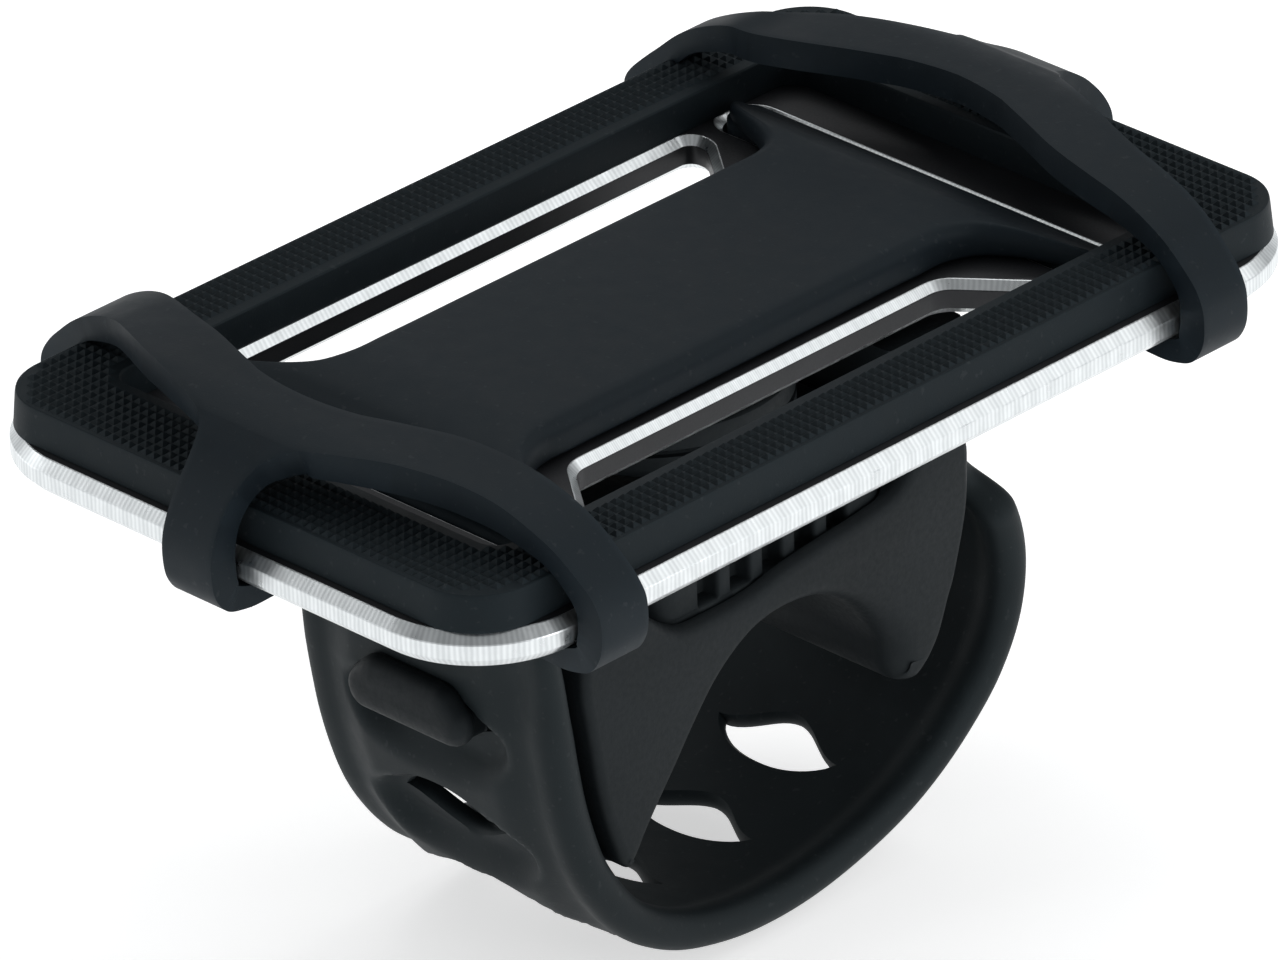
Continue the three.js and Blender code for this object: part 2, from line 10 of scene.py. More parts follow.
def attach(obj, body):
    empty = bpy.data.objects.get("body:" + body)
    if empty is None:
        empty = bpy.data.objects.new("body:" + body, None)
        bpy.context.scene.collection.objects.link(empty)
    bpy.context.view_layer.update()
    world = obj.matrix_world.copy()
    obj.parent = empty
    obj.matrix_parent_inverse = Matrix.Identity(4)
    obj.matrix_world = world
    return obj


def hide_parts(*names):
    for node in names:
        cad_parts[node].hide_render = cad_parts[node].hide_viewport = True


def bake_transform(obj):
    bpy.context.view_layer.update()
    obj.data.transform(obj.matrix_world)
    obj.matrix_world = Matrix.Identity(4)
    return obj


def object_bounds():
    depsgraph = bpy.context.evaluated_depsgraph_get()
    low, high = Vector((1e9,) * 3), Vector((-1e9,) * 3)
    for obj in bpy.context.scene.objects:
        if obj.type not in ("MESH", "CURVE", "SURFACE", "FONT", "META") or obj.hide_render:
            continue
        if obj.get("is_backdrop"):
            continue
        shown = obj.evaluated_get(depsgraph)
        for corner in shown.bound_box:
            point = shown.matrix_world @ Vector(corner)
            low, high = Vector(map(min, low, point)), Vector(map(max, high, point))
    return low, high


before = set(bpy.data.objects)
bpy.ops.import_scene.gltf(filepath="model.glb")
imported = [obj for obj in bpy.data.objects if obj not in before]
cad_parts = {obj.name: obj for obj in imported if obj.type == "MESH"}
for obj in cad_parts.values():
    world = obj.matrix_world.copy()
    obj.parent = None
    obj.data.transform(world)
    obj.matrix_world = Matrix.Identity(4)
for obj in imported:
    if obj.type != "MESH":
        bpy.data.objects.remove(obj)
CAD_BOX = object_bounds()
scene = bpy.context.scene
MM = 0.001
H = 35.5            # row z of the deck's side wall edge, mm; shapes below use that edge as z = 0


# ------------------------------------------------------------------ mesh tools
class Shape:
    def __init__(self):
        self.v, self.f, self.m, self.a = [], [], [], []

    def add(self, verts, faces, mat=0, run=None):
        n = len(self.v)
        self.v += [tuple(float(c) for c in p) for p in verts]
        self.a += [0.0] * len(verts) if run is None else [float(r) for r in run]
        self.f += [tuple(i + n for i in f) for f in faces]
        self.m += [mat] * len(faces) if isinstance(mat, int) else list(mat)

    def loft(self, loops, caps=True, ring=False, mats=0, closed=True, cap_mats=(0, 0), runs=None):
        """Loops with the same number of points; mats is one slot or one for each band."""
        n, k = len(loops[0]), len(loops)
        verts = [p for loop in loops for p in loop]
        faces, mat = [], []
        for a in range(k if ring else k - 1):
            b = (a + 1) % k
            for i in range(n if closed else n - 1):
                j = (i + 1) % n
                faces.append((a * n + i, a * n + j, b * n + j, b * n + i))
                mat.append(mats if isinstance(mats, int) else mats[a])
        if caps and not ring:
            for base, loop, m in ((0, loops[0], cap_mats[0]), ((k - 1) * n, loops[-1], cap_mats[1])):
                for t in tessellate_polygon([[Vector(p) for p in loop]]):
                    faces.append(tuple(base + i for i in t))
                    mat.append(m)
        self.add(verts, faces, mat, None if runs is None else [r for run in runs for r in run])

    def fill(self, outer, holes, mat=0):
        """A flat face with holes."""
        bm = bmesh.new()
        edges = []
        for loop in [outer] + holes:
            vs = [bm.verts.new(Vector(p)) for p in loop]
            edges += [bm.edges.new((a, b)) for a, b in zip(vs, vs[1:] + vs[:1])]
        bmesh.ops.triangle_fill(bm, use_beauty=True, use_dissolve=False, edges=edges, normal=Vector((0, 0, 1)))
        bm.verts.index_update()
        self.add([v.co for v in bm.verts], [tuple(v.index for v in f.verts) for f in bm.faces], mat)
        bm.free()


def row(p):
    return (p[0] * MM, p[1] * MM, (p[2] + H) * MM)


def make(name, shape, run=False):
    me = bpy.data.meshes.new(name)
    me.from_pydata([row(p) for p in shape.v], [], shape.f)
    me.polygons.foreach_set("material_index", shape.m)
    if run:
        me.attributes.new("run", "FLOAT", "POINT").data.foreach_set("value", shape.a)
    tidy(me)
    o = bpy.data.objects.new(name, me)
    scene.collection.objects.link(o)
    return o


def tidy(me, dist=2e-6):
    bm = bmesh.new()
    bm.from_mesh(me)
    bmesh.ops.remove_doubles(bm, verts=bm.verts, dist=dist)
    bmesh.ops.dissolve_degenerate(bm, edges=bm.edges, dist=dist)
    bmesh.ops.delete(bm, geom=[v for v in bm.verts if not v.link_faces], context="VERTS")
    bmesh.ops.recalc_face_normals(bm, faces=bm.faces)
    bm.to_mesh(me)
    bm.free()


def settle(o):
    """Applies the modifiers."""
    bpy.context.view_layer.update()
    dg = bpy.context.evaluated_depsgraph_get()
    me = bpy.data.meshes.new_from_object(o.evaluated_get(dg), preserve_all_data_layers=True, depsgraph=dg)
    o.modifiers.clear()
    o.data = me
    return o


def boolean(o, cutter, how="DIFFERENCE"):
    m = o.modifiers.new("b", "BOOLEAN")
    m.operation, m.object, m.solver = how, cutter, "EXACT"
    m.use_self = how == "UNION"
    m.use_hole_tolerant = how == "DIFFERENCE" and len(o.data.polygons) < 12000
    settle(o)
    bpy.data.objects.remove(cutter)
    tidy(o.data, 1e-6)
    return o


def soften(o, width, segments=3, angle=35):
    m = o.modifiers.new("bevel", "BEVEL")
    m.width, m.segments, m.limit_method, m.angle_limit = width * MM, segments, "ANGLE", math.radians(angle)
    m.harden_normals = False
    m.miter_outer = "MITER_ARC"
    return settle(o)


def shade(o, angle=32):
    bm = bmesh.new()
    bm.from_mesh(o.data)
    for f in bm.faces:
        f.smooth = True
    for e in bm.edges:
        e.smooth = len(e.link_faces) == 2 and e.calc_face_angle(0.0) < math.radians(angle)
    bm.to_mesh(o.data)
    bm.free()


def finish_piece(o, mats, nodes, body=None, blend=None, angle=32):
    shade(o, angle)
    which = np.zeros(len(o.data.polygons), np.int32)
    o.data.polygons.foreach_get("material_index", which)
    o.data.materials.clear()
    for m in mats:
        o.data.materials.append(m)
    o.data.polygons.foreach_set("material_index", which)
    if blend:
        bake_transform(o)
    else:
        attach(o, body)
    if nodes:
        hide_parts(*nodes)
    return o


def smooth01(t):
    t = np.clip(t, 0, 1)
    return t * t * (3 - 2 * t)


def spline(points, per=8, closed=False):
    """A smooth curve through the points, sampled `per` times between each pair."""
    p = np.array(points, float)
    n = len(p)
    nxt = lambda i: (i + 1) % n if closed else min(i + 1, n - 1)
    h = np.array([max(np.linalg.norm(p[nxt(i)] - p[i]), 1e-9) for i in range(n)])
    m = np.zeros_like(p)
    for i in range(n):
        a, b = ((i - 1) % n, (i + 1) % n) if closed else (i - 1, i + 1)
        if a < 0:
            m[i] = (p[1] - p[0]) / h[0]
        elif b >= n:
            m[i] = (p[i] - p[i - 1]) / h[i - 1]
        else:
            m[i] = ((p[b] - p[i]) / h[i] * h[a] + (p[i] - p[a]) / h[a] * h[i]) / (h[a] + h[i])
    out = []
    for i in range(n if closed else n - 1):
        q = nxt(i)
        for k in range(per):
            t = k / per
            a, b = 2 * t**3 - 3 * t**2 + 1, t**3 - 2 * t**2 + t
            c, d = -2 * t**3 + 3 * t**2, t**3 - t**2
            out.append(a * p[i] + b * h[i] * m[i] + c * p[q] + d * h[i] * m[q])
    if not closed:
        out.append(p[-1])
    return np.array(out)


def even(points, step):
    """The same line with points every `step` along it."""
    d = np.r_[0, np.cumsum(np.linalg.norm(np.diff(points, axis=0), axis=1))]
    s = np.linspace(0, d[-1], max(2, int(round(d[-1] / step)) + 1))
    return np.stack([np.interp(s, d, points[:, k]) for k in range(points.shape[1])], 1), s


def outline(corners, radii, grow=0.0, steps=5):
    """Convex outline, counter-clockwise, with a radius at each corner, grown by `grow`."""
    n, pts, lines = len(corners), [], []
    for i in range(n):
        p, q = np.array(corners[i], float), np.array(corners[(i + 1) % n], float)
        d = (q - p) / np.linalg.norm(q - p)
        lines.append((p + np.array([d[1], -d[0]]) * grow, d))
    for i in range(n):
        (ap, ad), (bp, bd) = lines[(i - 1) % n], lines[i]
        den = ad[0] * bd[1] - ad[1] * bd[0]
        w = bp - ap
        t = (w[0] * bd[1] - w[1] * bd[0]) / den
        c = ap + ad * t
        r = max(radii[i] + grow, 0.05)
        half = math.acos(max(-1, min(1, float(ad @ bd)))) / 2
        back = r * math.tan(half)
        centre = c - ad * back + np.array([-ad[1], ad[0]]) * r
        start = math.atan2(-ad[0], ad[1])
        for k in range(steps + 1):
            a = start + 2 * half * k / steps
            pts.append((centre[0] + r * math.cos(a), centre[1] + r * math.sin(a)))
    return pts


def rectangle(x, y, r, grow=0.0, steps=5):
    return outline([(-x, -y), (x, -y), (x, y), (-x, y)], [r] * 4, grow, steps)


def at(pts, z):
    return [(x, y, z) for x, y in pts]


def circle(r, n, x=0.0, y=0.0, turn=0.0):
    return [(x + r * math.cos(turn + 2 * math.pi * i / n), y + r * math.sin(turn + 2 * math.pi * i / n)) for i in range(n)]


# ------------------------------------------------------------------- materials
class Nodes:
    def __init__(self, name):
        self.m = bpy.data.materials.new(name)
        self.m.use_nodes = True
        self.t = self.m.node_tree
        self.t.nodes.clear()
        self.out = self.n("ShaderNodeOutputMaterial")
        self.bsdf = self.n("ShaderNodeBsdfPrincipled")
        self.link(self.bsdf.outputs[0], self.out.inputs[0])
        self.co = self.n("ShaderNodeTexCoord").outputs["Object"]

    def n(self, kind, **props):
        node = self.t.nodes.new(kind)
        for k, v in props.items():
            setattr(node, k, v)
        return node

    def link(self, a, b):
        self.t.links.new(a, b)

    def noise(self, scale, detail=4.0, rough=0.55, vector=None):
        n = self.n("ShaderNodeTexNoise")
        n.inputs["Scale"].default_value = scale
        n.inputs["Detail"].default_value = detail
        n.inputs["Roughness"].default_value = rough
        self.link(vector or self.co, n.inputs["Vector"])
        return n.outputs["Fac"]

    def ramp(self, fac, stops):
        r = self.n("ShaderNodeValToRGB")
        while len(r.color_ramp.elements) < len(stops):
            r.color_ramp.elements.new(0.5)
        for e, (pos, c) in zip(r.color_ramp.elements, stops):
            e.position = pos
            e.color = (*c, 1) if isinstance(c, tuple) else (c, c, c, 1)
        self.link(fac, r.inputs[0])
        return r.outputs[0]

    def mix(self, fac, a, b, kind="MIX"):
        m = self.n("ShaderNodeMix", data_type="RGBA", blend_type=kind)
        for sock, val in ((m.inputs[0], fac), (m.inputs[6], a), (m.inputs[7], b)):
            if isinstance(val, (int, float)):
                sock.default_value = val if sock is m.inputs[0] else (val, val, val, 1)
            elif isinstance(val, tuple):
                sock.default_value = (*val, 1)
            else:
                self.link(val, sock)
        return m.outputs[2]

    def math(self, how, a, b=0.0):
        m = self.n("ShaderNodeMath", operation=how)
        for sock, val in ((m.inputs[0], a), (m.inputs[1], b)):
            if isinstance(val, (int, float)):
                sock.default_value = val
            else:
                self.link(val, sock)
        return m.outputs[0]

    def range(self, fac, a0, a1, b0, b1):
        m = self.n("ShaderNodeMapRange")
        for k, v in zip((1, 2, 3, 4), (a0, a1, b0, b1)):
            m.inputs[k].default_value = v
        self.link(fac, m.inputs[0])
        return m.outputs[0]

    def bump(self, height, strength, distance_mm, normal=None):
        b = self.n("ShaderNodeBump")
        b.inputs["Strength"].default_value = strength
        b.inputs["Distance"].default_value = distance_mm * MM
        self.link(height, b.inputs["Height"])
        if normal is not None:
            self.link(normal, b.inputs["Normal"])
        return b.outputs[0]

    def edge(self, lo=0.52, hi=0.6):
        return self.range(self.n("ShaderNodeNewGeometry").outputs["Pointiness"], lo, hi, 0, 1)


def rubber(name, dark, light, rough, spec, grain=0.35, edge_light=1.5, sheen=0.0):
    """Moulded rubber: fine matte grain, faint flow mottling, edges a little paler where they rub."""
    k = Nodes(name)
    big, mid, fine = k.noise(45, 3), k.noise(420, 5), k.noise(5200, 3, 0.6)
    specks = k.ramp(k.noise(1500, 2, 0.4), [(0.66, 0.0), (0.75, 1.0)])
    base = k.mix(k.range(big, 0.35, 0.65, 0, 1), dark, light)
    base = k.mix(k.math("MULTIPLY", k.range(mid, 0.4, 0.7, 0, 1), 0.35), base, tuple(1.25 * c for c in light))
    base = k.mix(k.math("MULTIPLY", k.edge(), 0.5), base, tuple(edge_light * c for c in light))
    base = k.mix(k.math("MULTIPLY", specks, 0.12), base, (0.09, 0.095, 0.1))
    k.link(base, k.bsdf.inputs["Base Color"])
    k.link(k.range(k.math("ADD", k.math("MULTIPLY", mid, 0.6), k.math("MULTIPLY", big, 0.4)), 0.3, 0.7, rough - 0.06, rough + 0.08), k.bsdf.inputs["Roughness"])
    k.bsdf.inputs["Specular IOR Level"].default_value = spec
    k.bsdf.inputs["Specular Tint"].default_value = (0.82, 0.96, 1.0, 1)
    if sheen:
        k.bsdf.inputs["Sheen Weight"].default_value = sheen
        k.bsdf.inputs["Sheen Roughness"].default_value = 0.4
    n = k.bump(mid, 0.25, 0.05)
    k.link(k.bump(fine, grain, 0.03, n), k.bsdf.inputs["Normal"])
    return k.m


def moulded(name, dark, light, rough, spec):
    """Spark-textured engineering plastic."""
    k = Nodes(name)
    big, pits, fine = k.noise(60, 3), k.noise(1700, 3, 0.65), k.noise(6000, 2)
    base = k.mix(k.range(big, 0.35, 0.65, 0, 1), dark, light)
    base = k.mix(k.math("MULTIPLY", k.edge(), 0.5), base, tuple(1.5 * c for c in light))
    k.link(base, k.bsdf.inputs["Base Color"])
    k.link(k.range(pits, 0.3, 0.7, rough - 0.05, rough + 0.09), k.bsdf.inputs["Roughness"])
    k.bsdf.inputs["Specular IOR Level"].default_value = spec
    k.bsdf.inputs["Specular Tint"].default_value = (0.86, 0.97, 1.0, 1)
    n = k.bump(pits, 0.45, 0.05)
    k.link(k.bump(fine, 0.2, 0.02, n), k.bsdf.inputs["Normal"])
    return k.m


def machined(name):
    """Bright cut aluminium: fine cutter marks across the edge."""
    k = Nodes(name)
    run = k.n("ShaderNodeAttribute", attribute_name="run").outputs["Fac"]
    wob = k.math("ADD", run, k.math("MULTIPLY", k.noise(300, 2), 0.35))
    cut = k.math("SINE", k.math("MULTIPLY", wob, 2 * math.pi / 0.52))
    coarse = k.math("SINE", k.math("MULTIPLY", wob, 2 * math.pi / 2.3))
    marks = k.math("ADD", k.math("MULTIPLY", cut, 0.35), k.math("MULTIPLY", coarse, 0.15))
    vary = k.noise(700, 4)
    base = k.mix(k.range(k.math("ADD", marks, vary), 0.1, 1.0, 0, 1), (0.62, 0.65, 0.66), (0.80, 0.83, 0.84))
    k.link(base, k.bsdf.inputs["Base Color"])
    k.bsdf.inputs["Metallic"].default_value = 1.0
    k.link(k.range(vary, 0.3, 0.7, 0.26, 0.4), k.bsdf.inputs["Roughness"])
    n = k.bump(marks, 0.35, 0.012)
    k.link(k.bump(k.noise(3000, 2), 0.12, 0.01, n), k.bsdf.inputs["Normal"])
    return k.m


def anodised(name):
    """Black anodised aluminium over a bead-blasted face."""
    k = Nodes(name)
    blast, big = k.noise(4200, 2), k.noise(80, 3)
    base = k.mix(k.range(big, 0.3, 0.7, 0, 1), (0.010, 0.011, 0.013), (0.018, 0.019, 0.022))
    k.link(k.mix(k.math("MULTIPLY", k.edge(0.53, 0.62), 0.35), base, (0.12, 0.12, 0.125)), k.bsdf.inputs["Base Color"])
    k.bsdf.inputs["Metallic"].default_value = 0.35
    k.link(k.range(blast, 0.3, 0.7, 0.38, 0.5), k.bsdf.inputs["Roughness"])
    k.link(k.bump(blast, 0.3, 0.02), k.bsdf.inputs["Normal"])
    return k.m


def steel(name, tone):
    k = Nodes(name)
    spin = k.n("ShaderNodeMapping")
    spin.inputs["Scale"].default_value = (1, 1, 14)
    k.link(k.co, spin.inputs[0])
    lines, big = k.noise(900, 3, vector=spin.outputs[0]), k.noise(250, 3)
    base = k.mix(k.range(lines, 0.3, 0.7, 0, 1), tuple(0.8 * c for c in tone), tone)
    k.link(base, k.bsdf.inputs["Base Color"])
    k.bsdf.inputs["Metallic"].default_value = 1.0
    k.link(k.range(big, 0.3, 0.7, 0.22, 0.42), k.bsdf.inputs["Roughness"])
    k.link(k.bump(lines, 0.2, 0.01), k.bsdf.inputs["Normal"])
    return k.m


def nylon(name):
    k = Nodes(name)
    big, fine = k.noise(200, 3), k.noise(2600, 3)
    k.link(k.mix(k.range(big, 0.3, 0.7, 0, 1), (0.55, 0.54, 0.5), (0.7, 0.69, 0.65)), k.bsdf.inputs["Base Color"])
    k.link(k.range(fine, 0.3, 0.7, 0.4, 0.55), k.bsdf.inputs["Roughness"])
    k.bsdf.inputs["Subsurface Weight"].default_value = 0.1
    k.bsdf.inputs["Subsurface Radius"].default_value = (0.001, 0.001, 0.001)
    k.link(k.bump(fine, 0.2, 0.02), k.bsdf.inputs["Normal"])
    return k.m


M_HARNESS = rubber("harness_rubber", (0.0062, 0.0096, 0.0132), (0.0085, 0.0128, 0.0170), 0.52, 0.16, 0.3)
M_PAD = rubber("pad_rubber", (0.0060, 0.0092, 0.0118), (0.0090, 0.0132, 0.0162), 0.58, 0.16, 0.5)
M_STRAP = rubber("strap_rubber", (0.0072, 0.0098, 0.0114), (0.0105, 0.0142, 0.0160), 0.56, 0.17, 0.5)
M_PLASTIC = moulded("moulded_plastic", (0.0062, 0.0080, 0.0092), (0.0090, 0.0113, 0.0130), 0.56, 0.17)
M_BRIGHT = machined("cut_aluminium")
M_BLACK = anodised("anodised_aluminium")
M_STEEL = steel("plated_steel", (0.62, 0.62, 0.63))
M_NYLON = nylon("nylon")


# ------------------------------------------------------------------------ deck
def deck():
    s = Shape()
    W, L, R = 67.6 / 2, 110 / 2, 11.85
    prof = [(-1.05, -2.5), (-0.93, -2.46), (-0.06, -1.57), (0, -1.45), (0, -0.05), (-0.05, 0.07), (-0.92, 0.94), (-1.04, 0.98)]
    loops = [at(rectangle(W, L, R, g, 24), z) for g, z in prof]
    d = [0.0]
    for a, b in zip(loops[3], loops[3][1:]):
        d.append(d[-1] + math.dist(a, b))
    s.loft(loops, caps=False, mats=0, runs=[d] * len(loops))
    tops, bottoms = [], []

    def opening(corners, radii, steps):
        c = 0.8
        pr = [(c + 0.06, 0.98), (c - 0.04, 0.95), (0.03, 0.20), (0, 0.12), (0, -1.64), (0.03, -1.72), (c - 0.04, -2.47), (c + 0.06, -2.5)]
        ls = [at(outline(corners, radii, g, steps), z) for g, z in pr]
        e = [0.0]
        for a, b in zip(ls[0], ls[0][1:]):
            e.append(e[-1] + math.dist(a, b))
        s.loft(ls, caps=False, mats=[0, 0, 1, 1, 1, 0, 0], runs=[e] * len(ls))
        tops.append(ls[0]); bottoms.append(ls[-1])

    right = [(14, -23.6), (21.7, -29.5), (24, -29.5), (24, 29.5), (21.7, 29.5), (14, 23.6)]
    rad = [2.6, 2.6, 1.2, 1.2, 2.6, 2.6]
    opening(right, rad, 10)
    opening([(-x, y) for x, y in right][::-1], rad[::-1], 10)
    cross = [(-24.5, 33), (24.5, 33), (24.5, 38), (-24.5, 38)]
    opening(cross, [2.4] * 4, 12)
    opening([(-x, -y) for x, y in cross], [2.4] * 4, 12)
    for x, y in ((-6, -6), (6, -6), (6, 6), (-6, 6)):
        ls = [at(circle(r, 40, x, y), z) for r, z in ((3.25, 0.98), (1.85, -0.68), (1.8, -0.75), (1.8, -2.5))]
        s.loft(ls, caps=False, mats=1)
        tops.append(ls[0]); bottoms.append(ls[-1])
    s.fill(loops[-1], tops, 1)
    s.fill(loops[0], bottoms, 1)
    o = make("deck", s, run=True)
    return finish_piece(o, [M_BRIGHT, M_BLACK], ["deck_plate"], "head", angle=20)


deck()


# -------------------------------------------------------------------- grip pad
def pad():
    s = Shape()
    X, Y, R, IX, IY, IR = 31.6, 52.9, 6.3, 24.75, 43.9, 2.2
    base, top = 0.99, 4.6
    out = [(0.1, base), (0.3, base), (0.34, base + 0.1), (0.3, base + 0.4), (0.05, top - 0.5), (0, top - 0.2), (-0.05, top - 0.06), (-0.15, top)]
    loops = [at(rectangle(X, Y, R, g, 20), z) for g, z in out]
    s.loft(loops, caps=False)
    inn = [(0.34, top), (0.16, top - 0.05), (0.04, top - 0.2), (0, top - 0.45), (0, base + 0.3), (0.1, base)]
    hole = [at(rectangle(IX, IY, IR, g, 10), z) for g, z in inn]
    s.loft(hole, caps=False)
    s.fill(loops[-1], [hole[0]])
    s.fill(loops[0], [hole[-1]])
    pitch, h = 1.06, 0.36

    def inside(x, y, X, Y, R):
        dx, dy = abs(x) - (X - R), abs(y) - (Y - R)
        return max(dx, dy) <= R if min(dx, dy) <= 0 else math.hypot(dx, dy) <= R

    k = pitch / 2
    nx, ny = int(X / pitch) + 1, int(Y / pitch) + 1
    for j in range(-ny, ny + 1):
        for i in range(-nx, nx + 1):
            x, y = i * pitch, j * pitch
            cs = [(x - k, y - k), (x + k, y - k), (x + k, y + k), (x - k, y + k)]
            if all(inside(a, b, X - 0.16, Y - 0.16, R - 0.16) for a, b in cs) and not any(inside(a, b, IX + 0.3, IY + 0.3, IR + 0.3) for a, b in cs):
                c = 0.22
                lo = [(a, b, top - 0.08) for a, b in cs]
                hi = [(x + (a - x) * c, y + (b - y) * c, top + h) for a, b in cs]
                s.add(lo + hi, [(3, 2, 1, 0), (4, 5, 6, 7), (0, 1, 5, 4), (1, 2, 6, 5), (2, 3, 7, 6), (3, 0, 4, 7)])
    me_shape = s
    me = bpy.data.meshes.new("grip_pad_skin")
    me.from_pydata([row(p) for p in me_shape.v], [], me_shape.f)
    o = bpy.data.objects.new("grip_pad_skin", me)
    scene.collection.objects.link(o)
    bm = bmesh.new()
    bm.from_mesh(me)
    bmesh.ops.remove_doubles(bm, verts=[v for v in bm.verts if v.co.z < (top + H + 0.01) * MM and v.co.z > (top - 0.05 + H) * MM or v.co.z < (top - 0.1 + H) * MM], dist=2e-6)
    bmesh.ops.recalc_face_normals(bm, faces=bm.faces)
    bm.to_mesh(me)
    bm.free()
    return finish_piece(o, [M_PAD], ["grip_pad"], "head", angle=25)


pad()


# --------------------------------------------------------------- bridge moulding
def bridge():
    rows = [(0, 12.4, 5.0), (12, 12.4, 5.0), (22, 12.4, 5.0), (26.5, 12.6, 4.95), (29.2, 13.9, 4.65), (31.2, 16.6, 4.25), (32.8, 20.4, 3.65), (34.2, 23.3, 3.05), (35.2, 24.0, 2.6), (36.2, 24.0, 2.1), (36.9, 23.7, 1.6)]
    half = spline(rows, 6)
    rows = [(-y, w, t) for y, w, t in half[:0:-1]] + [tuple(r) for r in half]
    bottom = 1.28
    loops = []
    for y, w, t in rows:
        e = min(1.7, (t - bottom) * 0.55)
        b = min(0.5, (t - bottom) * 0.3)
        loop = [(-w + b, bottom), (w - b, bottom)]
        loop += [(w - b + b * math.sin(a), bottom + b - b * math.cos(a)) for a in np.linspace(0, math.pi / 2, 5)[1:]]
        loop += [(w - e + e * math.cos(a), t - e + e * math.sin(a)) for a in np.linspace(0, math.pi / 2, 9)]
        n = 9
        for k in range(1, n):
            x = (w - e) * (1 - 2 * k / n)
            loop.append((x, t + 0.18 * (1 - (x / (w - e)) ** 2)))
        loop += [(-w + e - e * math.sin(a), t - e + e * math.cos(a)) for a in np.linspace(0, math.pi / 2, 9)]
        loop += [(-w + b - b * math.cos(a), bottom + b - b * math.sin(a)) for a in np.linspace(0, math.pi / 2, 5)[:-1]]
        loops.append([(x, y, z) for x, z in loop])
    s = Shape()
    s.loft(loops)
    o = make("harness_bridge_skin", s)
    for sg in (1, -1):
        corners = [(-24.1, 33.4), (24.1, 33.4), (24.1, 37.6), (-24.1, 37.6)]
        if sg < 0:
            corners = [(-x, -y) for x, y in corners]
        t = Shape()
        t.loft([at(outline(corners, [2.0] * 4, g, 8), z) for g, z in ((-0.3, -4.4), (0, -4.0), (0, 1.3), (-0.35, 1.75), (-0.9, 2.0))])
        leg = make("leg", t)
        boolean(o, leg, "UNION")
        f = Shape()
        y0, y1 = (33.4, 41.2) if sg > 0 else (-41.2, -33.4)
        fc = [(-23.5, y0), (23.5, y0), (23.5, y1), (-23.5, y1)]
        f.loft([at(outline(fc, [1.6] * 4, g, 6), z) for g, z in ((-0.5, -4.6), (-0.15, -4.45), (0, -4.1), (0, -3.1), (-0.15, -2.9), (-0.3, -2.8))])
        boolean(o, make("foot", f), "UNION")
    return finish_piece(o, [M_HARNESS], ["harness_bridge"], "head", angle=40)


bridge()


